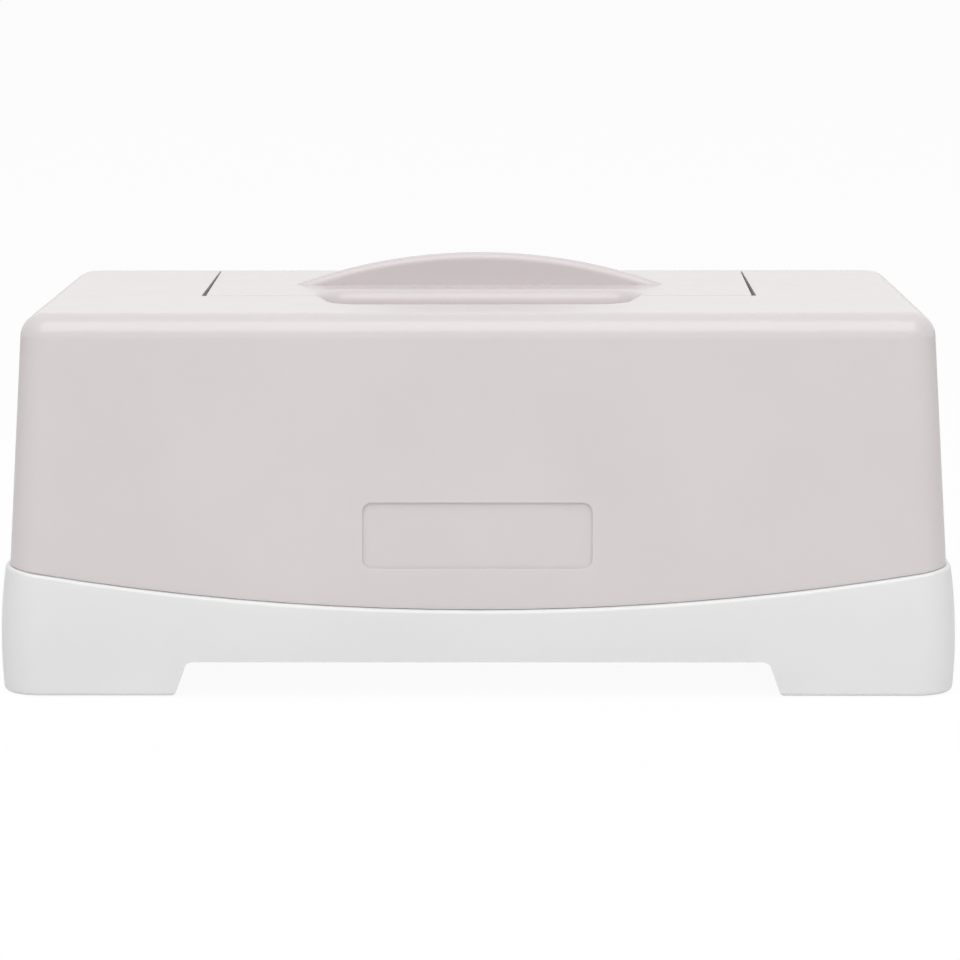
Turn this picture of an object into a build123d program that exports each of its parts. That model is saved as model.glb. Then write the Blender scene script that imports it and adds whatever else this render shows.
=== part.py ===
"""Baby wipes box: a tray on four feet, a lift-off cover, a hinged lid and a weight plate.

The frame: X runs left to right, Y front to back, Z up. The origin is on the table,
under the middle of the box. All sizes are in millimetres.
"""

from build123d import *
from math import cos, radians, sin, sqrt, tan
import os

os.makedirs("parts", exist_ok=True)

# Overall size
box_length = 248.0  # widest part of the tray, left to right
box_depth = 128.0  # widest part of the tray, front to back
top_height = 98.5  # flat top of the cover above the table

# Tray skirt: its sides bulge as one shallow arc
bulge_height = 12.0
bulge_radius = 161.0
tray_corner = 10.0
foot_edge_radius = 1.2
skirt_wall = 2.4

# Line where the cover meets the tray: an arc seen from the front
parting_low = 22.9
parting_radius = 703.0
parting_gap = 0.15
rim_step = 1.15  # the tray stands this far proud of the cover
tray_rim_radius = 0.8

# Cover
draft = 3.49  # degrees, on all four sides
cover_corner = 8.0
crown_radius = 6.4  # rounding along the top edge
cover_wall = 2.2

# Tray inside
tub_wall = 2.2
floor_height = 14.4
floor_thickness = 2.2
upstand_height = 45.0  # top of the wall that locates the cover
upstand_gap = 0.4
tub_corner = 7.0
rib_thickness = 1.6
rib_spacing = 36.0

# Feet
foot_gap_height = 9.4
foot_gap_half = 78.4  # half of the gap between left and right feet, at the table
side_gap_half = 34.0  # half of the gap between front and rear feet, at the table
foot_gap_lean = 3.3  # how far the gap narrows on its way up
foot_gap_radius = 2.4
foot_tip_radius = 1.5
pad_stand = 0.3  # the pads hold the feet this far off the table
pad_radius = 6.5
pad_disc = 1.6
plug_radius = 2.6
plug_length = 5.0
boss_wall = 1.8
pad_inset_x = 19.0
pad_inset_y = 15.0

# Bare panel pressed into the front of the cover
panel_length = 59.2
panel_height = 17.2
panel_centre = 42.0
panel_corner = 2.6
panel_depth = 0.6

# Lid: a little wider at its rear, where the gaps at its sides are narrower
lid_half = 74.6  # at the hinge
lid_half_front = 73.3
lid_side_gap = 0.45  # at the hinge
lid_side_gap_front = 1.2
lid_front = -12.7
lid_front_gap = 0.3
lid_skin = 2.2
lid_thickness = 8.0
liner_thickness = 1.5
liner_gap = 0.15
lid_rib = 1.6
lid_rib_spacing = 30.0
lid_corner = 1.2

# Grip: a crescent that stands up from the lid
grip_front = 13.3
grip_half = 51.0
grip_height = 9.0
grip_depth = 24.0
grip_edge_radius = 2.0
grip_wall = 2.0
grip_root = 1.5  # the crescent starts this far below the top

# Finger well in front of the grip, shared by the lid and the cover
well_front = -29.5
well_rear = 0.1
well_half_front = 36.4
well_half_rear = 43.8
well_corner = 7.0
well_rim_radius = 3.5
scoop_depth = 4.5  # in the lid
well_depth = 19.0  # in the cover
well_reach = -3.0  # the well runs back to here under the lid
well_wall = 2.0

# Deck under the lid, with the opening that the wipes come through
deck_drop = 11.5
deck_thickness = 2.0
recess_wall = 2.0
opening_length = 112.0
opening_margin_front = 3.7  # from the lid's inner wall to the opening
opening_margin_rear = 5.3
opening_corner_share = 0.42  # of the opening's width
collar_wall = 2.0
collar_height = 2.0
gasket_width = 3.0
gasket_groove = 0.8
gasket_side_gap = 0.05
gasket_gap = 0.3

# Hinge: the lid's rear edge is a barrel that shares the cover's crown radius
barrel_gap = 0.5
trough_wall = 2.0
rear_lip_drop = 4.2  # the rear wall stops this far below the hinge axis
pin_radius = 1.5
pin_clearance = 0.05
pin_in_lid = 12.0
pin_in_cover = 5.8
boss_radius = 4.8
boss_length = 6.0
barrel_core = 3.4  # half width of the channel inside the barrel
barrel_end = 14.0  # solid length at each end of the barrel

# Stops inside the cover, which rest on the tray's upstand
stop_thickness = 2.0
stop_reach = 3.4
stop_headroom = 1.0  # the stops end this far below the deck
stop_spacing = 120.0
stop_spacing_side = 60.0

# Weight plate
plate_end_gap = 13.9  # to the tray's inner walls
plate_side_gap = 4.9
plate_corner = 14.0
plate_gap = 0.2
plate_height = 7.3
plate_skin = 1.8
plate_edge = 2.0
plate_edge_radius = 1.4
plate_base = 1.6
plate_fit = 0.15
slot_length = 84.0
slot_width = 18.0
slot_wall = 2.4
slot_lip_height = 2.0
bar_end_gap = 5.8  # to the slot's wall and to the plate's end, before the bar's length is rounded
bar_margin = 12.0  # from the plate's long sides
bar_gap = 0.2
bar_rail = 1.4
bar_rail_height = 2.0


def bulge(half, z):
    """Half size of the tray at a height, from the half size where it is widest."""
    return half - (bulge_radius - sqrt(bulge_radius**2 - (z - bulge_height) ** 2))


parting_sag = parting_radius - sqrt(parting_radius**2 - (box_length / 2) ** 2)
parting_side = parting_low + parting_sag


def cover_half(half, z):
    """Half size of the cover's outside at a height, from the tray's widest half size."""
    return bulge(half, parting_side) - rim_step - (z - parting_side) * tan(radians(draft))


half_x = box_length / 2
half_y = box_depth / 2
deck_top = top_height - deck_drop
deck_bottom = deck_top - deck_thickness
collar_top = deck_top + collar_height
lid_bottom = top_height - lid_thickness
liner_top = lid_bottom + liner_thickness
barrel_z = top_height - crown_radius
barrel_y = cover_half(half_y, barrel_z) - crown_radius / cos(radians(draft))
recess_half = lid_half + lid_side_gap
recess_half_front = lid_half_front + lid_side_gap_front
recess_front = lid_front - lid_front_gap
lid_cavity_rear = barrel_y - crown_radius - lid_skin
opening_front = well_rear + well_rim_radius + lid_skin + opening_margin_front
opening_rear = lid_cavity_rear - opening_margin_rear
opening_width = opening_rear - opening_front
opening_centre = (opening_front + opening_rear) / 2
opening_corner = opening_corner_share * opening_width
grip_arc = (grip_half**2 + grip_height**2) / (2 * grip_height)
tub_half_x = cover_half(half_x, upstand_height) - cover_wall - upstand_gap - tub_wall
tub_half_y = cover_half(half_y, upstand_height) - cover_wall - upstand_gap - tub_wall
plate_length = 2 * (tub_half_x - plate_end_gap)
plate_width = 2 * (tub_half_y - plate_side_gap)
plate_bottom = floor_height + plate_gap
bar_width = plate_width - 2 * bar_margin
bar_space_start, bar_space_end = slot_length / 2 + slot_wall, plate_length / 2 - plate_edge
bar_centre = (bar_space_start + bar_space_end) / 2
bar_length = round(bar_space_end - bar_space_start - 2 * bar_end_gap)  # cut to whole millimetres
bar_thickness = plate_height - plate_skin - plate_base - bar_gap
foot_positions = [
    (side, end, side * (half_x - pad_inset_x), end * (half_y - pad_inset_y))
    for side in (-1, 1)
    for end in (-1, 1)
]


def rounded_block(low, high, x_half, y_half, corner):
    """An upright block with rounded vertical corners."""
    with BuildPart() as block:
        with BuildSketch(Plane.XY.offset(low)):
            RectangleRounded(2 * x_half, 2 * y_half, corner)
        extrude(amount=high - low)
    return block.part


def drafted_block(low, high, inset, corner, crown):
    """A block that follows the cover's drafted sides, set in by a wall, with a rounded top edge."""
    with BuildPart() as block:
        with BuildSketch(Plane.XY.offset(low)):
            Rectangle(
                2 * (cover_half(half_x, low) - inset), 2 * (cover_half(half_y, low) - inset)
            )
        extrude(amount=high - low, taper=draft)
        uprights = block.edges().filter_by(lambda e: e.center().Z > low + 1 and e.center().Z < high - 1)
        fillet(uprights, radius=corner)
        if crown:
            fillet(block.faces().sort_by(Axis.Z)[-1].edges(), radius=crown)
    return block.part


def above_parting(offset):
    """A solid above the parting arc, for trimming the cover and the tray along one curve."""
    reach = box_length
    with BuildPart() as region:
        with BuildSketch(Plane.XZ.offset(-box_depth)):
            with BuildLine():
                edge_height = parting_low + offset + parting_sag
                left, right = (-half_x, edge_height), (half_x, edge_height)
                ThreePointArc(left, (0, parting_low + offset), right)
                Polyline(right, (reach, edge_height), (reach, reach), (-reach, reach), (-reach, edge_height), left)
            make_face()
        extrude(amount=2 * box_depth)
    return region.part


def well_outline(rear):
    """The well's plan: narrower at the front, straight sides, rounded corners."""
    lean = (well_half_rear - well_half_front) / (well_rear - well_front)
    rear_half = well_half_front + lean * (rear - well_front)
    with BuildSketch() as outline:
        Polygon(
            (-well_half_front, well_front),
            (well_half_front, well_front),
            (rear_half, rear),
            (-rear_half, rear),
            align=None,
        )
        fillet(outline.vertices(), radius=well_corner)
    return outline.sketch


def bulged_prism(half, plane, low, high, reach):
    """The tray's bulged side profile, run straight through the tray in one direction."""
    with BuildPart() as prism:
        with BuildSketch(plane.offset(-reach)):
            with BuildLine():
                right_low, right_high = (bulge(half, low), low), (bulge(half, high), high)
                left_low, left_high = (-bulge(half, low), low), (-bulge(half, high), high)
                ThreePointArc(right_low, (half, bulge_height), right_high)
                Line(right_high, left_high)
                ThreePointArc(left_high, (-half, bulge_height), left_low)
                Line(left_low, right_low)
            make_face()
        extrude(amount=2 * reach)
    return prism.part


def foot_gap(plane, half, reach):
    """The gap between two feet, run straight through under the tray."""
    with BuildPart() as gap:
        with BuildSketch(plane.offset(-reach)) as opening:
            tip = half + 2 * foot_tip_radius
            Polygon(
                (-tip, -1),
                (-tip, pad_stand),
                (-half, pad_stand),
                (-half + foot_gap_lean, foot_gap_height),
                (half - foot_gap_lean, foot_gap_height),
                (half, pad_stand),
                (tip, pad_stand),
                (tip, -1),
                align=None,
            )
            fillet(opening.vertices().group_by(Axis.Y)[-1], radius=foot_gap_radius)
            tips = opening.vertices().filter_by(lambda v: abs(abs(v.X) - half) < 0.01)
            fillet(tips, radius=foot_tip_radius)
        extrude(amount=2 * reach)
    return gap.part


def front_plane(z):
    """A plane on the cover's leaning front face, centred at a height."""
    lean = radians(draft)
    return Plane(
        origin=(0, -cover_half(half_y, z), z), x_dir=(1, 0, 0), z_dir=(0, -cos(lean), sin(lean))
    )


def well_rim(builder):
    """The edges round the mouth of the well, at the top."""
    return builder.edges().filter_by(
        lambda e: abs(e.center().Z - top_height) < 0.01
        and abs(e.center().X) < well_half_rear + 1
        and well_front - 1 < e.center().Y < well_rear + 1
    )


def lid_envelope():
    """The lid's plan, a little wider at the rear, as an upright block."""
    with BuildPart() as envelope:
        with BuildSketch(Plane.XY.offset(lid_bottom)):
            Polygon(
                (-lid_half_front, lid_front),
                (lid_half_front, lid_front),
                (lid_half, barrel_y),
                (-lid_half, barrel_y),
                align=None,
            )
        extrude(amount=lid_thickness)
        fillet(envelope.edges().filter_by(Axis.Z).group_by(Axis.Y)[0], radius=lid_corner)
    return envelope.part


def recess_plan(grow, rear):
    """The lid's recess in plan, grown by a wall, running back past the hinge."""
    with BuildSketch() as plan:
        Polygon(
            (-recess_half_front - grow, recess_front - grow),
            (recess_half_front + grow, recess_front - grow),
            (recess_half + grow, barrel_y),
            (recess_half + grow, rear),
            (-recess_half - grow, rear),
            (-recess_half - grow, barrel_y),
            align=None,
        )
    return plan.sketch


def hinge_rod(radius, half_length):
    """A round bar on the hinge axis."""
    with BuildPart() as rod:
        with BuildSketch(Plane.YZ.offset(-half_length)):
            with Locations((barrel_y, barrel_z)):
                Circle(radius)
        extrude(amount=2 * half_length)
    return rod.part


def recess_space():
    """The room for the lid: over the deck, round the barrel, and out through the rear wall."""
    with BuildPart() as space:
        with BuildSketch(Plane.XY.offset(deck_top)):
            add(recess_plan(0, barrel_y + crown_radius / 2))
        extrude(amount=deck_drop + 1)
        with BuildSketch(Plane.XY.offset(barrel_z - rear_lip_drop)):
            add(recess_plan(0, half_y))
        extrude(amount=crown_radius + rear_lip_drop + 1)
        add(hinge_rod(crown_radius + barrel_gap, recess_half))
    return space.part


def collar_ring(width):
    """A ring of a given width, centred on the collar's wall, in plan."""
    with BuildSketch() as ring:
        with Locations((0, opening_centre)):
            outer, inner = collar_wall + width, collar_wall - width
            RectangleRounded(
                opening_length + outer, opening_width + outer, opening_corner + outer / 2
            )
            RectangleRounded(
                opening_length + inner, opening_width + inner, opening_corner + inner / 2, mode=Mode.SUBTRACT
            )
    return ring.sketch


def lid_inside(inset):
    """The lid's inside in plan: a rectangle less the scoop and the wall round it."""
    front, rear = lid_front + lid_skin + inset, lid_cavity_rear - inset
    scoop_wall = well_rim_radius + lid_skin + inset
    with BuildSketch() as plan:
        with Locations((0, (front + rear) / 2)):
            Rectangle(2 * (lid_half_front - lid_skin - inset), rear - front)
        with BuildSketch(mode=Mode.SUBTRACT):
            offset(well_outline(well_rear), amount=scoop_wall)
    return plan.sketch


def grip(wall, root):
    """The crescent, or with a wall the hollow inside it.

    Its section from front to back falls away to the rear. Turned round an axis that
    runs front to back, far below, it becomes an arc in the front view too.
    """
    front, rear = grip_front + wall, grip_front + grip_depth - wall
    crest = top_height + grip_height - wall
    with BuildPart() as crescent:
        with BuildSketch(Plane.YZ) as section:
            with BuildLine():
                foot = top_height - grip_root
                TangentArc((front, crest), (rear, foot), tangent=(1, 0))
                Polyline((rear, foot), (rear, foot - lid_skin), (front, foot - lid_skin), (front, crest))
            make_face()
            if not wall:
                fillet(section.vertices().sort_by(Axis.Y)[-1], radius=grip_edge_radius)
        revolve(axis=Axis((0, 0, top_height + grip_height - grip_arc), (0, 1, 0)))
        with Locations((0, grip_front, root)):
            Box(
                3 * grip_half,
                3 * grip_depth,
                2 * grip_height,
                align=(Align.CENTER, Align.CENTER, Align.MIN),
                mode=Mode.INTERSECT,
            )
    return crescent.part


def cover_stops():
    """Ribs down the cover's inside that come to rest on the tray's upstand."""
    reach = cover_half(half_y, upstand_height) - cover_wall - stop_reach
    reach_side = cover_half(half_x, upstand_height) - cover_wall - stop_reach
    with BuildPart() as stops:
        with BuildSketch(Plane.XY.offset(upstand_height)):
            with GridLocations(stop_spacing, 1, 2, 1):
                Rectangle(stop_thickness, box_depth)
            with GridLocations(1, stop_spacing_side, 1, 2):
                Rectangle(box_length, stop_thickness)
            Rectangle(2 * reach_side, 2 * reach, mode=Mode.SUBTRACT)
        extrude(amount=deck_bottom - stop_headroom - upstand_height)
        within = drafted_block(
            upstand_height, top_height, cover_wall / 2, cover_corner - cover_wall / 2, 0
        )
        add(within, mode=Mode.INTERSECT)
    return stops.part


# Tray: a bulged skirt, a tub inside it and an upstand that locates the cover
tray_top = parting_side + 2
shoulder_under = parting_low - skirt_wall - parting_gap
underside_half_x = bulge(half_x, shoulder_under) - skirt_wall
underside_half_y = bulge(half_y, shoulder_under) - skirt_wall
floor_under = floor_height - floor_thickness

with BuildPart() as tray_skirt:
    add(bulged_prism(half_x, Plane.XZ, pad_stand, tray_top, box_depth))
    add(bulged_prism(half_y, Plane.YZ, pad_stand, tray_top, box_length), mode=Mode.INTERSECT)
    corners = tray_skirt.edges().filter_by(
        lambda e: abs(e.center().X) > half_x - 5 and abs(e.center().Y) > half_y - 5
    )
    fillet(corners, radius=tray_corner)
    fillet(tray_skirt.faces().sort_by(Axis.Z)[0].edges(), radius=foot_edge_radius)
    add(above_parting(-parting_gap), mode=Mode.SUBTRACT)
    fillet(tray_skirt.faces().sort_by(Axis.Z)[-1].edges(), radius=tray_rim_radius)

with BuildPart() as underside_hollow:
    add(rounded_block(-1, shoulder_under, underside_half_x, underside_half_y, tray_corner - skirt_wall))
    add(
        rounded_block(
            floor_under, shoulder_under, tub_half_x + tub_wall, tub_half_y + tub_wall, tub_corner + tub_wall
        ),
        mode=Mode.SUBTRACT,
    )

with BuildPart() as base_tray:
    add(tray_skirt.part)
    add(drafted_block(shoulder_under, upstand_height, cover_wall + upstand_gap, cover_corner - cover_wall, 0))
    add(underside_hollow.part, mode=Mode.SUBTRACT)
    add(rounded_block(floor_height, upstand_height + 1, tub_half_x, tub_half_y, tub_corner), mode=Mode.SUBTRACT)
    fillet(base_tray.faces().sort_by(Axis.Z)[-1].edges(), radius=0.7)
    # stiffening ribs under the floor
    with BuildSketch(Plane.XY.offset(floor_under)):
        with GridLocations(rib_spacing, 1, 5, 1):
            Rectangle(rib_thickness, 2 * underside_half_y)
        with GridLocations(1, rib_spacing, 1, 3):
            Rectangle(2 * underside_half_x, rib_thickness)
    extrude(amount=-(floor_under - foot_gap_height - 0.2))
    # posts that carry the pads
    with BuildSketch(Plane.XY.offset(floor_under)):
        with Locations([(x, y) for _, _, x, y in foot_positions]):
            Circle(pad_radius + boss_wall)
    extrude(amount=-(floor_under - pad_stand))
    add(foot_gap(Plane.XZ, foot_gap_half, box_depth), mode=Mode.SUBTRACT)
    add(foot_gap(Plane.YZ, side_gap_half, box_length), mode=Mode.SUBTRACT)
    with Locations([(x, y, 0) for _, _, x, y in foot_positions]):
        Cylinder(
            pad_radius, 2 * pad_disc, mode=Mode.SUBTRACT
        )
        Cylinder(
            plug_radius,
            pad_disc + plug_length,
            align=(Align.CENTER, Align.CENTER, Align.MIN),
            mode=Mode.SUBTRACT,
        )
base_tray.part.label = "base_tray"
export_step(base_tray.part, "parts/base_tray.step")

# Foot pads: a soft disc with a plug that pushes up into its post
pad_names = {(-1, -1): "front_left", (1, -1): "front_right", (-1, 1): "rear_left", (1, 1): "rear_right"}
for side, end, x, y in foot_positions:
    with BuildPart() as foot_pad:
        with BuildSketch(Plane((x, y, 0))):
            Circle(pad_radius)
        extrude(amount=pad_disc)
        fillet(foot_pad.edges().group_by(Axis.Z)[0], radius=0.4)
        with BuildSketch(Plane((x, y, pad_disc))):
            Circle(plug_radius)
        extrude(amount=plug_length)
    foot_pad.part.label = "foot_pad_" + pad_names[side, end]
    export_step(foot_pad.part, f"parts/foot_pad_{pad_names[side, end]}.step")

# Cover: a drafted shell, open where the lid lies, with the rounded rim of the finger well
rim_low = parting_low - 1
cover_inside = drafted_block(
    rim_low - 1, top_height - cover_wall, cover_wall, cover_corner - cover_wall, crown_radius - cover_wall
)

with BuildPart() as cover:
    add(drafted_block(rim_low, top_height, 0, cover_corner, crown_radius))
    add(above_parting(0), mode=Mode.INTERSECT)
    add(cover_inside, mode=Mode.SUBTRACT)
    # the well's rim is made whole, and the lid's recess then takes its rear part away
    with BuildSketch(Plane.XY.offset(top_height - cover_wall)):
        offset(well_outline(well_rear), amount=well_wall)
    extrude(amount=cover_wall - scoop_depth)
    with BuildSketch(Plane.XY.offset(top_height)):
        add(well_outline(well_rear))
    extrude(amount=-scoop_depth, mode=Mode.SUBTRACT)
    fillet(well_rim(cover), radius=well_rim_radius)
    add(recess_space(), mode=Mode.SUBTRACT)
    # bare panel
    with BuildSketch(front_plane(panel_centre)):
        RectangleRounded(panel_length, panel_height, panel_corner)
    extrude(amount=-panel_depth, mode=Mode.SUBTRACT)
    add(cover_stops())
cover.part.label = "cover"
export_step(cover.part, "parts/cover.step")

# Deck: a pan under the lid, pressed up into the cover, with the opening and the hinge trough
well_cup = top_height - well_depth - well_wall

with BuildPart() as lid_deck:
    with BuildSketch(Plane.XY.offset(deck_bottom)):
        add(recess_plan(recess_wall, half_y))
    extrude(amount=top_height - deck_bottom)
    add(hinge_rod(crown_radius + barrel_gap + trough_wall, recess_half + recess_wall))
    add(hinge_rod(boss_radius, recess_half + boss_length))
    add(cover_inside, mode=Mode.INTERSECT)
    add(recess_space(), mode=Mode.SUBTRACT)
    with BuildSketch(Plane.XY.offset(deck_top)):
        add(collar_ring(collar_wall))
    extrude(amount=collar_height)
    with BuildSketch(Plane.XY.offset(deck_top)):
        with Locations((0, opening_centre)):
            RectangleRounded(opening_length, opening_width, opening_corner)
    extrude(amount=-deck_thickness, mode=Mode.SUBTRACT)
    with BuildSketch(Plane.XY.offset(well_cup)):
        offset(well_outline(well_reach), amount=well_wall)
    extrude(amount=well_depth + well_wall, mode=Mode.SUBTRACT)
    add(hinge_rod(pin_radius + pin_clearance, recess_half + boss_length), mode=Mode.SUBTRACT)
lid_deck.part.label = "lid_deck"
export_step(lid_deck.part, "parts/lid_deck.step")

# Finger well: a cup that hangs below the rim, and under the lid's front edge
with BuildPart() as finger_well:
    with BuildSketch(Plane.XY.offset(well_cup)):
        offset(well_outline(well_reach), amount=well_wall)
    extrude(amount=well_depth + well_wall - scoop_depth)
    with BuildSketch(Plane.XY.offset(top_height - scoop_depth)):
        add(well_outline(well_reach))
    extrude(amount=scoop_depth - well_depth, mode=Mode.SUBTRACT)
    inner_edges = finger_well.edges().group_by(Axis.Z)[1]
    fillet(inner_edges, radius=well_wall)
    add(recess_space(), mode=Mode.SUBTRACT)
finger_well.part.label = "finger_well"
export_step(finger_well.part, "parts/finger_well.step")

# Lid: a ribbed shell with the barrel along its rear edge, the grip and the scoop
with BuildPart() as lid:
    # the scoop is rounded whole in a longer slab, which is then cut to the lid's plan
    with BuildSketch(Plane.XY.offset(lid_bottom)):
        with Locations((0, (-half_y + barrel_y) / 2)):
            Rectangle(2 * lid_half, half_y + barrel_y)
    extrude(amount=lid_thickness)
    with BuildSketch(Plane.XY.offset(top_height)):
        add(well_outline(well_rear))
    extrude(amount=-scoop_depth, mode=Mode.SUBTRACT)
    fillet(well_rim(lid), radius=well_rim_radius)
    add(lid_envelope(), mode=Mode.INTERSECT)
    add(hinge_rod(crown_radius, lid_half))
    # inside
    with BuildSketch(Plane.XY.offset(lid_bottom)):
        add(lid_inside(0))
    extrude(amount=lid_thickness - lid_skin, mode=Mode.SUBTRACT)
    add(grip(0, top_height - grip_root))
    add(grip(grip_wall, top_height - lid_skin), mode=Mode.SUBTRACT)
    with BuildSketch(Plane.XY.offset(liner_top)):
        rib_front = well_rear + well_rim_radius + lid_skin - 0.5
        with Locations((0, (rib_front + lid_cavity_rear + 0.5) / 2)):
            with GridLocations(lid_rib_spacing, 1, 5, 1):
                Rectangle(lid_rib, lid_cavity_rear + 0.5 - rib_front)
    extrude(amount=top_height - lid_skin - liner_top + 0.1)
    # channel and bores in the barrel
    with BuildSketch(Plane.XY.offset(barrel_z - crown_radius)):
        with Locations((0, barrel_y)):
            Rectangle(2 * (lid_half - barrel_end), 2 * barrel_core)
    extrude(amount=2 * crown_radius - lid_skin, mode=Mode.SUBTRACT)
    for side in (-1, 1):
        with BuildSketch(Plane.YZ.offset(side * lid_half)):
            with Locations((barrel_y, barrel_z)):
                Circle(pin_radius + pin_clearance)
        extrude(amount=-side * (pin_in_lid + 0.2), mode=Mode.SUBTRACT)
lid.part.label = "lid"
export_step(lid.part, "parts/lid.step")

# Liner: closes the lid from below and holds the gasket
with BuildPart() as lid_liner:
    with BuildSketch(Plane.XY.offset(lid_bottom)):
        add(lid_inside(liner_gap))
    extrude(amount=liner_thickness)
    with BuildSketch(Plane.XY.offset(lid_bottom)):
        add(collar_ring(gasket_width + 2 * gasket_side_gap))
    extrude(amount=gasket_groove, mode=Mode.SUBTRACT)
lid_liner.part.label = "lid_liner"
export_step(lid_liner.part, "parts/lid_liner.step")

with BuildPart() as lid_gasket:
    with BuildSketch(Plane.XY.offset(collar_top + gasket_gap)):
        add(collar_ring(gasket_width))
    extrude(amount=lid_bottom + gasket_groove - collar_top - gasket_gap)
    fillet(lid_gasket.faces().sort_by(Axis.Z)[0].edges(), radius=0.8)
lid_gasket.part.label = "lid_gasket"
export_step(lid_gasket.part, "parts/lid_gasket.step")

# Hinge pins
for side, name in ((-1, "left"), (1, "right")):
    with BuildPart() as hinge_pin:
        with BuildSketch(Plane.YZ.offset(side * (lid_half - pin_in_lid))):
            with Locations((barrel_y, barrel_z)):
                Circle(pin_radius)
        extrude(amount=side * (pin_in_lid + lid_side_gap + pin_in_cover))
        chamfer(hinge_pin.edges().filter_by(GeomType.CIRCLE), length=0.3)
    hinge_pin.part.label = "hinge_pin_" + name
    export_step(hinge_pin.part, f"parts/hinge_pin_{name}.step")

# Weight plate: a shell over two steel bars, closed by a base
with BuildPart() as weight_plate_shell:
    with BuildSketch(Plane.XY.offset(plate_bottom)):
        RectangleRounded(plate_length, plate_width, plate_corner)
    extrude(amount=plate_height)
    fillet(weight_plate_shell.faces().sort_by(Axis.Z)[-1].edges(), radius=plate_edge_radius)
    with BuildSketch(Plane.XY.offset(plate_bottom)):
        RectangleRounded(
            plate_length - 2 * plate_edge, plate_width - 2 * plate_edge, plate_corner - plate_edge
        )
    extrude(amount=plate_height - plate_skin, mode=Mode.SUBTRACT)
    with BuildSketch(Plane.XY.offset(plate_bottom)):
        SlotOverall(slot_length + 2 * slot_wall, slot_width + 2 * slot_wall)
    extrude(amount=plate_height + slot_lip_height)
    with BuildSketch(Plane.XY.offset(plate_bottom)):
        SlotOverall(slot_length, slot_width)
    extrude(amount=plate_height + slot_lip_height, mode=Mode.SUBTRACT)
    fillet(weight_plate_shell.faces().sort_by(Axis.Z)[-1].edges(), radius=0.8)
weight_plate_shell.part.label = "weight_plate_shell"
export_step(weight_plate_shell.part, "parts/weight_plate_shell.step")

inner_length = plate_length - 2 * plate_edge - 2 * plate_fit
inner_width = plate_width - 2 * plate_edge - 2 * plate_fit
rail_length = bar_length + 2 * bar_gap
rail_width = bar_width + 2 * bar_gap
with BuildPart() as weight_plate_base:
    with BuildSketch(Plane.XY.offset(plate_bottom)):
        RectangleRounded(inner_length, inner_width, plate_corner - plate_edge - plate_fit)
        SlotOverall(
            slot_length + 2 * (slot_wall + plate_fit),
            slot_width + 2 * (slot_wall + plate_fit),
            mode=Mode.SUBTRACT,
        )
    extrude(amount=plate_base)
    with BuildSketch(Plane.XY.offset(plate_bottom + plate_base)):
        with GridLocations(2 * bar_centre, 1, 2, 1):
            Rectangle(rail_length + 2 * bar_rail, rail_width + 2 * bar_rail)
            Rectangle(rail_length, rail_width, mode=Mode.SUBTRACT)
    extrude(amount=bar_rail_height)
weight_plate_base.part.label = "weight_plate_base"
export_step(weight_plate_base.part, "parts/weight_plate_base.step")

for side, name in ((-1, "left"), (1, "right")):
    with BuildPart() as weight_bar:
        with BuildSketch(Plane.XY.offset(plate_bottom + plate_base)):
            with Locations((side * bar_centre, 0)):
                Rectangle(bar_length, bar_width)
        extrude(amount=bar_thickness)
        chamfer(weight_bar.edges().filter_by(Axis.Z), length=2)
    weight_bar.part.label = "weight_bar_" + name
    export_step(weight_bar.part, f"parts/weight_bar_{name}.step")
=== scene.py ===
"""Looks for a baby wipes box: plastics, rubber, steel, a pale stage and the photograph's camera."""

import math

import bpy
from mathutils import Matrix, Vector


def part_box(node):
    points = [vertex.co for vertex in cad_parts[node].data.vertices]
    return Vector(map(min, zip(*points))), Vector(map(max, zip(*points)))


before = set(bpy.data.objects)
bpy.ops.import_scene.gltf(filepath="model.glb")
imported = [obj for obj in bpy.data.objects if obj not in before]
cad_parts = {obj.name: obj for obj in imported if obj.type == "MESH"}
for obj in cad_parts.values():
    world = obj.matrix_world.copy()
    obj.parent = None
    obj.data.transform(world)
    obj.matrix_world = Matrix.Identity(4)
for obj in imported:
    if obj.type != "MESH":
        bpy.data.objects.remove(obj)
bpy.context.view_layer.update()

bl_info = {
    "name": "Baby Wipes Box",
    "version": (1, 0, 0),
    "blender": (4, 5, 0),
    "location": "View3D > Sidebar > Wipes Box",
    "description": "Finishes and stage for a baby wipes box",
    "category": "Object",
}

COVER_NODES = ("cover", "lid", "lid_deck", "finger_well")
TRAY_NODES = ("base_tray", "lid_liner", "weight_plate_shell", "weight_plate_base")
PAD_NODES = ("foot_pad_front_left", "foot_pad_front_right", "foot_pad_rear_left", "foot_pad_rear_right")
PIN_NODES = ("hinge_pin_left", "hinge_pin_right")
BAR_NODES = ("weight_bar_left", "weight_bar_right")

# The noise values that give the least and the most, for tones and for roughness
TONE_NOISE = (0.3, 0.7)
ROUGHNESS_NOISE = (0.25, 0.75)
# What the clouds in the pigment multiply the colour and the roughness by, least and most
CLOUD_TONE = (0.985, 1.01)
CLOUD_ROUGHNESS = (0.9, 1.1)
# Translucence of the plastics: how much, how deep in metres, and how far each colour goes
SOFTNESS, SOFT_DEPTH, SOFT_REACH = 0.25, 0.003, (1, 0.9, 0.85)
PAD_ROUGHNESS, GASKET_ROUGHNESS = 0.75, 0.5
PIN_ROUGHNESS, BAR_ROUGHNESS = 0.25, 0.4
# The drawn lines in steel: their width as a share of their length
LINE_WIDTH = 0.02
# How dark the drawn lines get, and how far the roughness swings with them
LINE_TONE, LINE_ROUGHNESS = 0.86, 0.08
FLOOR_GREY = 0.9
# Degrees: how wide the broad lights are, and the side that each comes from, where 0 is the front
BROAD_SPREAD = 60
FRONT_HEADING, REAR_HEADING = -6, 170


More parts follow.
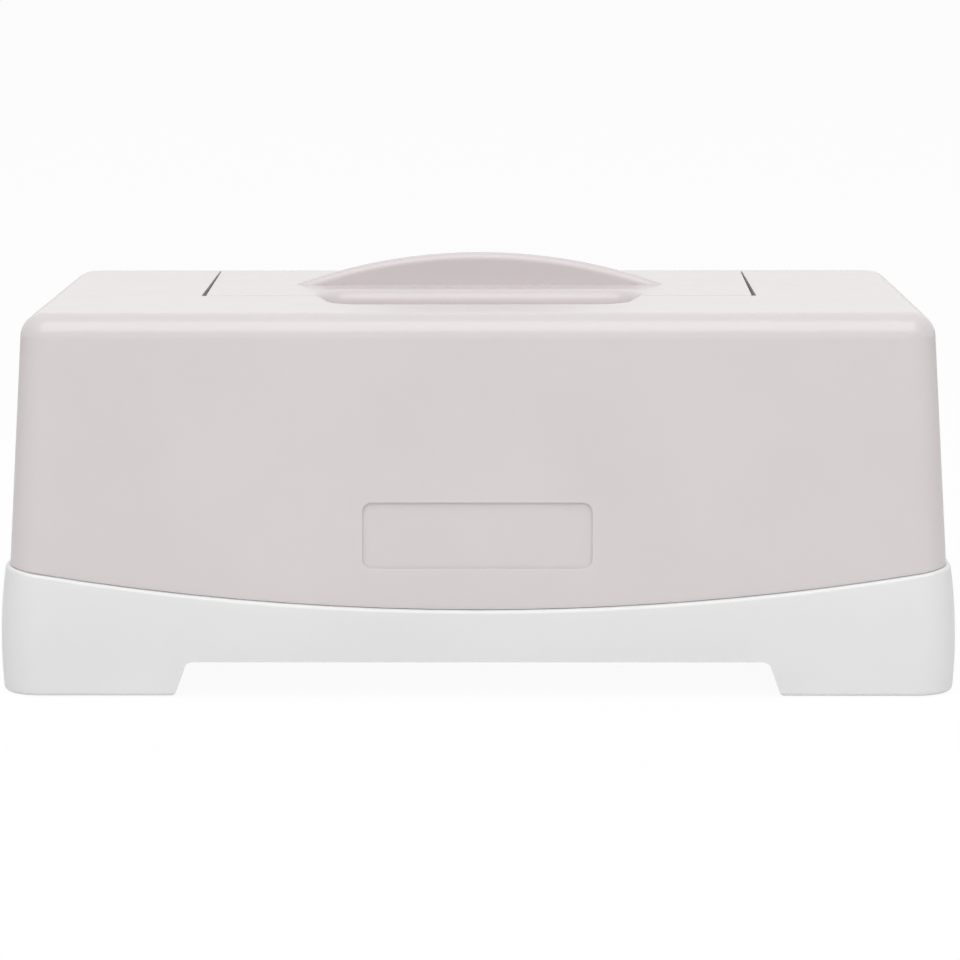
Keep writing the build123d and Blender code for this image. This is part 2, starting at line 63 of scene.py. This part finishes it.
def colour_setting(name, description, default):
    """A colour that a user can change."""
    return bpy.props.FloatVectorProperty(
        name=name, description=description, default=default, subtype="COLOR", min=0, max=1, size=3
    )


def length_setting(name, description, default):
    """A length in metres that a user can change."""
    return bpy.props.FloatProperty(
        name=name, description=description, default=default, unit="LENGTH", min=0, precision=5
    )


def share_setting(name, description, default):
    """A number from 0 to 1 that a user can change."""
    return bpy.props.FloatProperty(
        name=name, description=description, default=default, subtype="FACTOR", min=0, max=1
    )


def strength_setting(name, description, default):
    """A lamp's strength that a user can change."""
    return bpy.props.FloatProperty(name=name, description=description, default=default, min=0)


def angle_setting(name, description, degrees):
    """An angle that a user can change, given in degrees."""
    return bpy.props.FloatProperty(
        name=name, description=description, default=math.radians(degrees), subtype="ANGLE"
    )


class WipesBoxPlastics(bpy.types.PropertyGroup):
    """Colours and surface of the moulded plastics."""

    cover_colour: colour_setting("Cover", "Blush plastic of the cover and lid", (0.666, 0.617, 0.619))
    tray_colour: colour_setting("Tray", "Off-white plastic of the tray", (0.76, 0.76, 0.762))
    cover_roughness: share_setting("Cover roughness", "Mean roughness of the cover", 0.21)
    tray_roughness: share_setting("Tray roughness", "Mean roughness of the tray", 0.36)
    grain_size: length_setting("Grain", "Size of the mould's spark texture", 0.0005)
    grain_height: length_setting("Grain height", "Height of the grain in the tray's mould", 0.000005)
    polish_height: length_setting("Polish height", "Height of the grain in the cover's mould", 0.000001)
    cloud_size: length_setting("Clouding", "Size of the faint clouds in the pigment", 0.035)


class WipesBoxFittings(bpy.types.PropertyGroup):
    """Colours and surface of the rubber and steel pieces."""

    pad_colour: colour_setting("Pads", "Grey rubber of the foot pads", (0.27, 0.27, 0.275))
    gasket_colour: colour_setting("Gasket", "Milky silicone of the gasket", (0.62, 0.63, 0.64))
    pin_colour: colour_setting("Pins", "Drawn steel of the hinge pins", (0.56, 0.57, 0.58))
    bar_colour: colour_setting("Bars", "Plated steel of the weights", (0.42, 0.42, 0.41))
    brush_size: length_setting("Brush lines", "Spacing of the drawn lines in the steel", 0.0003)


class WipesBoxStage(bpy.types.PropertyGroup):
    """Camera, lamps and floor."""

    camera_place: bpy.props.FloatVectorProperty(
        name="Camera",
        description="Camera position",
        default=(0.00816, -0.87248, 0.19624),
        subtype="TRANSLATION",
    )
    camera_pitch: angle_setting("Pitch", "How far the camera looks down", 9.767)
    camera_yaw: angle_setting("Yaw", "How far the camera turns to its right", -0.526)
    camera_roll: angle_setting("Roll", "How far the camera rolls", -0.095)
    camera_lens: bpy.props.FloatProperty(
        name="Lens", description="Focal length on a 36 mm sensor", default=120.61, min=10, unit="CAMERA"
    )
    floor_size: length_setting("Floor", "Side of the square floor", 24.0)
    shadow_share: share_setting("Shadow", "How strongly the floor shows shadow", 0.055)
    sky_strength: strength_setting("Sky", "Strength of the even light from all round", 0.43)
    front_strength: strength_setting("Front light", "Strength of the broad light from the front", 0.24)
    rear_strength: strength_setting("Rear light", "Strength of the broad light from behind", 0.55)
    broad_height: angle_setting("Broad height", "How steeply the broad lights fall", 25)
    softbox_strength: strength_setting("Softbox", "Brightness, where a white card is 1", 2.1)
    softbox_distance: length_setting("Softbox distance", "From the cover's front edge", 1.05)
    softbox_tilt: angle_setting("Softbox tilt", "How far the softbox hangs forward", 28.4)
    softbox_width: length_setting("Softbox width", "Size of the softbox, left to right", 1.5)
    softbox_length: length_setting("Softbox length", "Size of the softbox, front to back", 0.98)


def new_material(name):
    """A fresh node material with its tree, Principled shader and output."""
    material = bpy.data.materials.new(name)
    material.use_nodes = True
    tree = material.node_tree
    return material, tree, tree.nodes["Principled BSDF"]


def dress(names, material):
    """Gives CAD nodes a material without touching their meshes."""
    for name in names:
        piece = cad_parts[name]
        if not piece.material_slots:
            piece.data.materials.append(material)
        for material_slot in piece.material_slots:
            material_slot.material = material


def set_range(node, source, target):
    """Sets the two ranges of a Map Range node."""
    node.inputs["From Min"].default_value, node.inputs["From Max"].default_value = source
    node.inputs["To Min"].default_value, node.inputs["To Max"].default_value = target


def spark_group():
    """Node group: the fine texture that a spark-eroded mould leaves, and faint clouds in the pigment.

    Grain is noise of two octaves on Object coordinates. Clouds are slow noise, mapped to shares near 1 that
    multiply the colour and the roughness.
    """
    if "Spark Texture" in bpy.data.node_groups:
        return bpy.data.node_groups["Spark Texture"]
    group = bpy.data.node_groups.new("Spark Texture", "ShaderNodeTree")
    face = group.interface
    face.new_socket("Grain Scale", in_out="INPUT", socket_type="NodeSocketFloat").default_value = 2000
    face.new_socket("Cloud Scale", in_out="INPUT", socket_type="NodeSocketFloat").default_value = 28
    face.new_socket("Roughness", in_out="INPUT", socket_type="NodeSocketFloat").default_value = 0.45
    face.new_socket("Colour", in_out="INPUT", socket_type="NodeSocketColor")
    face.new_socket("Height", in_out="OUTPUT", socket_type="NodeSocketFloat")
    face.new_socket("Roughness", in_out="OUTPUT", socket_type="NodeSocketFloat")
    face.new_socket("Colour", in_out="OUTPUT", socket_type="NodeSocketColor")
    nodes, links = group.nodes, group.links
    inputs, outputs = nodes.new("NodeGroupInput"), nodes.new("NodeGroupOutput")
    place = nodes.new("ShaderNodeTexCoord")

    grain = nodes.new("ShaderNodeTexNoise")
    grain.inputs["Detail"].default_value = 2
    grain.inputs["Roughness"].default_value = 0.55
    links.new(place.outputs["Object"], grain.inputs["Vector"])
    links.new(inputs.outputs["Grain Scale"], grain.inputs["Scale"])
    links.new(grain.outputs["Fac"], outputs.inputs["Height"])

    clouds = nodes.new("ShaderNodeTexNoise")
    clouds.inputs["Detail"].default_value = 3
    links.new(place.outputs["Object"], clouds.inputs["Vector"])
    links.new(inputs.outputs["Cloud Scale"], clouds.inputs["Scale"])

    tint = nodes.new("ShaderNodeMapRange")
    set_range(tint, TONE_NOISE, CLOUD_TONE)
    links.new(clouds.outputs["Fac"], tint.inputs["Value"])
    pigment = nodes.new("ShaderNodeVectorMath")
    pigment.operation = "SCALE"
    links.new(inputs.outputs["Colour"], pigment.inputs[0])
    links.new(tint.outputs["Result"], pigment.inputs["Scale"])
    links.new(pigment.outputs["Vector"], outputs.inputs["Colour"])

    smear = nodes.new("ShaderNodeMapRange")
    set_range(smear, ROUGHNESS_NOISE, CLOUD_ROUGHNESS)
    links.new(clouds.outputs["Fac"], smear.inputs["Value"])
    gloss = nodes.new("ShaderNodeMath")
    gloss.operation = "MULTIPLY"
    gloss.use_clamp = True
    links.new(inputs.outputs["Roughness"], gloss.inputs[0])
    links.new(smear.outputs["Result"], gloss.inputs[1])
    links.new(gloss.outputs["Value"], outputs.inputs["Roughness"])
    return group


def add_spark(tree, shader, colour, roughness, grain_size, grain_height, cloud_size):
    """Feeds a Principled shader's colour, roughness and normal from the spark texture."""
    spark = tree.nodes.new("ShaderNodeGroup")
    spark.node_tree = spark_group()
    spark.inputs["Grain Scale"].default_value = 1 / grain_size
    spark.inputs["Cloud Scale"].default_value = 1 / cloud_size
    spark.inputs["Roughness"].default_value = roughness
    spark.inputs["Colour"].default_value = (*colour, 1)
    bump = tree.nodes.new("ShaderNodeBump")
    bump.inputs["Strength"].default_value = 1
    bump.inputs["Distance"].default_value = grain_height
    links = tree.links
    links.new(spark.outputs["Height"], bump.inputs["Height"])
    links.new(bump.outputs["Normal"], shader.inputs["Normal"])
    links.new(spark.outputs["Colour"], shader.inputs["Base Color"])
    links.new(spark.outputs["Roughness"], shader.inputs["Roughness"])


def moulded_plastic(name, colour, roughness, grain_height, settings):
    """Moulded plastic, slightly translucent, with the texture that its mould left."""
    material, tree, shader = new_material(name)
    shader.inputs["IOR"].default_value = 1.49
    shader.inputs["Subsurface Weight"].default_value = SOFTNESS
    shader.inputs["Subsurface Scale"].default_value = SOFT_DEPTH
    shader.inputs["Subsurface Radius"].default_value = SOFT_REACH
    add_spark(tree, shader, colour, roughness, settings.grain_size, grain_height, settings.cloud_size)
    return material


def soft_rubber(name, colour, roughness, settings):
    """Matt rubber or silicone with a slightly coarser skin than the plastics."""
    material, tree, shader = new_material(name)
    shader.inputs["IOR"].default_value = 1.45
    shader.inputs["Sheen Weight"].default_value = 0.15
    height, cloud = 2 * settings.grain_height, settings.cloud_size / 4
    add_spark(tree, shader, colour, roughness, settings.grain_size, height, cloud)
    return material


def drawn_steel(name, colour, roughness, line_size, along_x):
    """Bright steel with fine lines left by drawing or rolling, as noise stretched along one axis."""
    material, tree, shader = new_material(name)
    nodes, links = tree.nodes, tree.links
    shader.inputs["Metallic"].default_value = 1.0
    place = nodes.new("ShaderNodeTexCoord")
    stretch = nodes.new("ShaderNodeMapping")
    across, along = 1 / line_size, LINE_WIDTH / line_size
    stretch.inputs["Scale"].default_value = (along, across, across) if along_x else (across, along, across)
    lines = nodes.new("ShaderNodeTexNoise")
    lines.inputs["Scale"].default_value = 1
    lines.inputs["Detail"].default_value = 2
    tone = nodes.new("ShaderNodeValToRGB")
    dark, bright = tone.color_ramp.elements
    dark.position, bright.position = TONE_NOISE
    dark.color = (*[LINE_TONE * part for part in colour], 1)
    bright.color = (*colour, 1)
    gloss = nodes.new("ShaderNodeMapRange")
    gloss.inputs["To Min"].default_value = roughness - LINE_ROUGHNESS
    gloss.inputs["To Max"].default_value = roughness + LINE_ROUGHNESS
    bump = nodes.new("ShaderNodeBump")
    bump.inputs["Strength"].default_value = 0.5
    bump.inputs["Distance"].default_value = line_size / 20
    links.new(place.outputs["Object"], stretch.inputs["Vector"])
    links.new(stretch.outputs["Vector"], lines.inputs["Vector"])
    links.new(lines.outputs["Fac"], tone.inputs["Fac"])
    links.new(lines.outputs["Fac"], gloss.inputs["Value"])
    links.new(lines.outputs["Fac"], bump.inputs["Height"])
    links.new(tone.outputs["Color"], shader.inputs["Base Color"])
    links.new(gloss.outputs["Result"], shader.inputs["Roughness"])
    links.new(bump.outputs["Normal"], shader.inputs["Normal"])
    return material


class WIPESBOX_OT_cover(bpy.types.Operator):
    """Dresses the cover and the lid in glossy blush plastic"""

    bl_idname = "wipes_box.cover"
    bl_label = "Cover and lid"

    def execute(self, context):
        plastics = context.scene.wipes_box_plastics
        colour, roughness = plastics.cover_colour, plastics.cover_roughness
        blush = moulded_plastic("Blush Plastic", colour, roughness, plastics.polish_height, plastics)
        dress(COVER_NODES, blush)
        return {"FINISHED"}


class WIPESBOX_OT_tray(bpy.types.Operator):
    """Dresses the tray, the liner and the weight plate in off-white satin plastic"""

    bl_idname = "wipes_box.tray"
    bl_label = "Tray, liner and plate"

    def execute(self, context):
        plastics = context.scene.wipes_box_plastics
        white = moulded_plastic(
            "Tray Plastic", plastics.tray_colour, plastics.tray_roughness, plastics.grain_height, plastics
        )
        dress(TRAY_NODES, white)
        return {"FINISHED"}


class WIPESBOX_OT_rubber(bpy.types.Operator):
    """Dresses the foot pads in grey rubber and the gasket in silicone"""

    bl_idname = "wipes_box.rubber"
    bl_label = "Pads and gasket"

    def execute(self, context):
        plastics, fittings = context.scene.wipes_box_plastics, context.scene.wipes_box_fittings
        dress(PAD_NODES, soft_rubber("Pad Rubber", fittings.pad_colour, PAD_ROUGHNESS, plastics))
        silicone = soft_rubber("Gasket Silicone", fittings.gasket_colour, GASKET_ROUGHNESS, plastics)
        dress(("lid_gasket",), silicone)
        return {"FINISHED"}


class WIPESBOX_OT_steel(bpy.types.Operator):
    """Dresses the hinge pins and the weights in steel"""

    bl_idname = "wipes_box.steel"
    bl_label = "Pins and weights"

    def execute(self, context):
        fittings = context.scene.wipes_box_fittings
        size = fittings.brush_size
        pin_steel = drawn_steel("Pin Steel", fittings.pin_colour, PIN_ROUGHNESS, size, along_x=True)
        bar_steel = drawn_steel("Bar Steel", fittings.bar_colour, BAR_ROUGHNESS, 2 * size, along_x=False)
        dress(PIN_NODES, pin_steel)
        dress(BAR_NODES, bar_steel)
        return {"FINISHED"}


def floor_material(stage):
    """A white floor: even white to the camera, with a share of real shading so that shadows show."""
    material, tree, shader = new_material("Floor White")
    nodes, links = tree.nodes, tree.links
    shader.inputs["Base Color"].default_value = (FLOOR_GREY, FLOOR_GREY, FLOOR_GREY, 1)
    shader.inputs["Roughness"].default_value = 0.9
    shader.inputs["Specular IOR Level"].default_value = 0
    glow = nodes.new("ShaderNodeEmission")
    glow.inputs["Strength"].default_value = 1
    path = nodes.new("ShaderNodeLightPath")
    share = nodes.new("ShaderNodeMath")
    share.operation = "MULTIPLY"
    share.inputs[1].default_value = 1 - stage.shadow_share
    mix = nodes.new("ShaderNodeMixShader")
    links.new(path.outputs["Is Camera Ray"], share.inputs[0])
    links.new(share.outputs["Value"], mix.inputs["Fac"])
    links.new(shader.outputs["BSDF"], mix.inputs[1])
    links.new(glow.outputs["Emission"], mix.inputs[2])
    links.new(mix.outputs["Shader"], nodes["Material Output"].inputs["Surface"])
    return material


def white_world(stage):
    """A world that lights evenly, and shows as plain white to the camera and in reflections."""
    world = bpy.data.worlds.new("Studio")
    world.use_nodes = True
    nodes, links = world.node_tree.nodes, world.node_tree.links
    even = nodes["Background"]
    even.inputs["Color"].default_value = (1, 1, 1, 1)
    even.inputs["Strength"].default_value = stage.sky_strength
    shown = nodes.new("ShaderNodeBackground")
    shown.inputs["Color"].default_value = (1, 1, 1, 1)
    shown.inputs["Strength"].default_value = 1
    path = nodes.new("ShaderNodeLightPath")
    seen = nodes.new("ShaderNodeMath")
    seen.operation = "MAXIMUM"
    seen_more = nodes.new("ShaderNodeMath")
    seen_more.operation = "MAXIMUM"
    mix = nodes.new("ShaderNodeMixShader")
    links.new(path.outputs["Is Camera Ray"], seen.inputs[0])
    links.new(path.outputs["Is Glossy Ray"], seen.inputs[1])
    links.new(seen.outputs["Value"], seen_more.inputs[0])
    links.new(path.outputs["Is Transmission Ray"], seen_more.inputs[1])
    links.new(seen_more.outputs["Value"], mix.inputs["Fac"])
    links.new(even.outputs["Background"], mix.inputs[1])
    links.new(shown.outputs["Background"], mix.inputs[2])
    links.new(mix.outputs["Shader"], nodes["World Output"].inputs["Surface"])
    return world


def softbox(stage):
    """A rectangular softbox aimed at the cover's front edge, where it shows as a bright bar.

    It is square to the line from the edge to its middle, so the bar's two ends stay upright.
    """
    width, length, tilt = stage.softbox_width, stage.softbox_length, stage.softbox_tilt
    data = bpy.data.lights.new("Softbox", "AREA")
    data.shape = "RECTANGLE"
    data.size, data.size_y = width, length
    # Pi watts for each square metre give a brightness of 1, which shows as plain white
    data.energy = stage.softbox_strength * math.pi * width * length
    lamp = bpy.data.objects.new("Softbox", data)
    lamp.visible_camera = False
    low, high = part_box("cover")
    edge = Vector((0, low[1], high[2]))
    lamp.location = edge + stage.softbox_distance * Vector((0, -math.sin(tilt), math.cos(tilt)))
    lamp.rotation_euler = (tilt, 0, 0)
    bpy.context.scene.collection.objects.link(lamp)
    return lamp


def broad_light(name, strength, height, heading):
    """A very soft sun that isn't mirrored. Height is how steeply it falls. Heading 0 is from the front."""
    data = bpy.data.lights.new(name, "SUN")
    data.energy = strength
    data.angle = math.radians(BROAD_SPREAD)
    lamp = bpy.data.objects.new(name, data)
    lamp.visible_glossy = False
    lamp.rotation_euler = (math.radians(90) - height, 0, heading)
    bpy.context.scene.collection.objects.link(lamp)
    return lamp


def photo_camera(stage):
    """The photograph's camera. Pitch is down, yaw to the right, and roll turns about the view."""
    pitch, yaw, roll = stage.camera_pitch, stage.camera_yaw, stage.camera_roll
    forward = Vector(
        (math.sin(yaw) * math.cos(pitch), math.cos(yaw) * math.cos(pitch), -math.sin(pitch))
    )
    level = Vector((math.cos(yaw), -math.sin(yaw), 0))
    upright = level.cross(forward)
    right = math.cos(roll) * level + math.sin(roll) * upright
    up = -math.sin(roll) * level + math.cos(roll) * upright
    data = bpy.data.cameras.new("Photo Camera")
    data.sensor_width = 36
    data.lens = stage.camera_lens
    camera = bpy.data.objects.new("Photo Camera", data)
    turn = Matrix((right, up, -forward)).transposed().to_4x4()
    camera.matrix_world = Matrix.Translation(stage.camera_place) @ turn
    bpy.context.scene.collection.objects.link(camera)
    bpy.context.scene.camera = camera
    return camera


class WIPESBOX_OT_stage(bpy.types.Operator):
    """Builds the camera, the lamps, the world and the floor"""

    bl_idname = "wipes_box.stage"
    bl_label = "Stage"

    def execute(self, context):
        stage = context.scene.wipes_box_stage
        photo_camera(stage)
        context.scene.world = white_world(stage)
        context.scene.view_settings.view_transform = "Standard"
        half = stage.floor_size / 2
        mesh = bpy.data.meshes.new("Floor")
        mesh.from_pydata(
            [(-half, -half, 0), (half, -half, 0), (half, half, 0), (-half, half, 0)], [], [(0, 1, 2, 3)]
        )
        floor = bpy.data.objects.new("Floor", mesh)
        floor.data.materials.append(floor_material(stage))
        context.scene.collection.objects.link(floor)
        softbox(stage)
        height = stage.broad_height
        broad_light("Front Light", stage.front_strength, height, math.radians(FRONT_HEADING))
        broad_light("Rear Light", stage.rear_strength, height, math.radians(REAR_HEADING))
        return {"FINISHED"}


class WIPESBOX_PT_panel(bpy.types.Panel):
    """Lists the steps that dress and stage the box"""

    bl_label = "Wipes Box"
    bl_idname = "WIPESBOX_PT_panel"
    bl_space_type = "VIEW_3D"
    bl_region_type = "UI"
    bl_category = "Wipes Box"

    def draw(self, context):
        scene = context.scene
        for settings in (scene.wipes_box_plastics, scene.wipes_box_fittings, scene.wipes_box_stage):
            box = self.layout.box()
            for name in settings.bl_rna.properties.keys():
                if name not in ("rna_type", "name"):
                    box.prop(settings, name)
        for step in OPERATORS:
            self.layout.operator(step.bl_idname)


OPERATORS = (
    WIPESBOX_OT_cover,
    WIPESBOX_OT_tray,
    WIPESBOX_OT_rubber,
    WIPESBOX_OT_steel,
    WIPESBOX_OT_stage,
)
SETTINGS = (WipesBoxPlastics, WipesBoxFittings, WipesBoxStage)


def register():
    for item in (*SETTINGS, *OPERATORS, WIPESBOX_PT_panel):
        bpy.utils.register_class(item)
    bpy.types.Scene.wipes_box_plastics = bpy.props.PointerProperty(type=WipesBoxPlastics)
    bpy.types.Scene.wipes_box_fittings = bpy.props.PointerProperty(type=WipesBoxFittings)
    bpy.types.Scene.wipes_box_stage = bpy.props.PointerProperty(type=WipesBoxStage)


def unregister():
    del bpy.types.Scene.wipes_box_stage
    del bpy.types.Scene.wipes_box_fittings
    del bpy.types.Scene.wipes_box_plastics
    for item in reversed((*SETTINGS, *OPERATORS, WIPESBOX_PT_panel)):
        bpy.utils.unregister_class(item)


def main():
    """Registers the add-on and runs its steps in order."""
    register()
    bpy.ops.wipes_box.cover()
    bpy.ops.wipes_box.tray()
    bpy.ops.wipes_box.rubber()
    bpy.ops.wipes_box.steel()
    bpy.ops.wipes_box.stage()


if __name__ == "__main__":
    main()
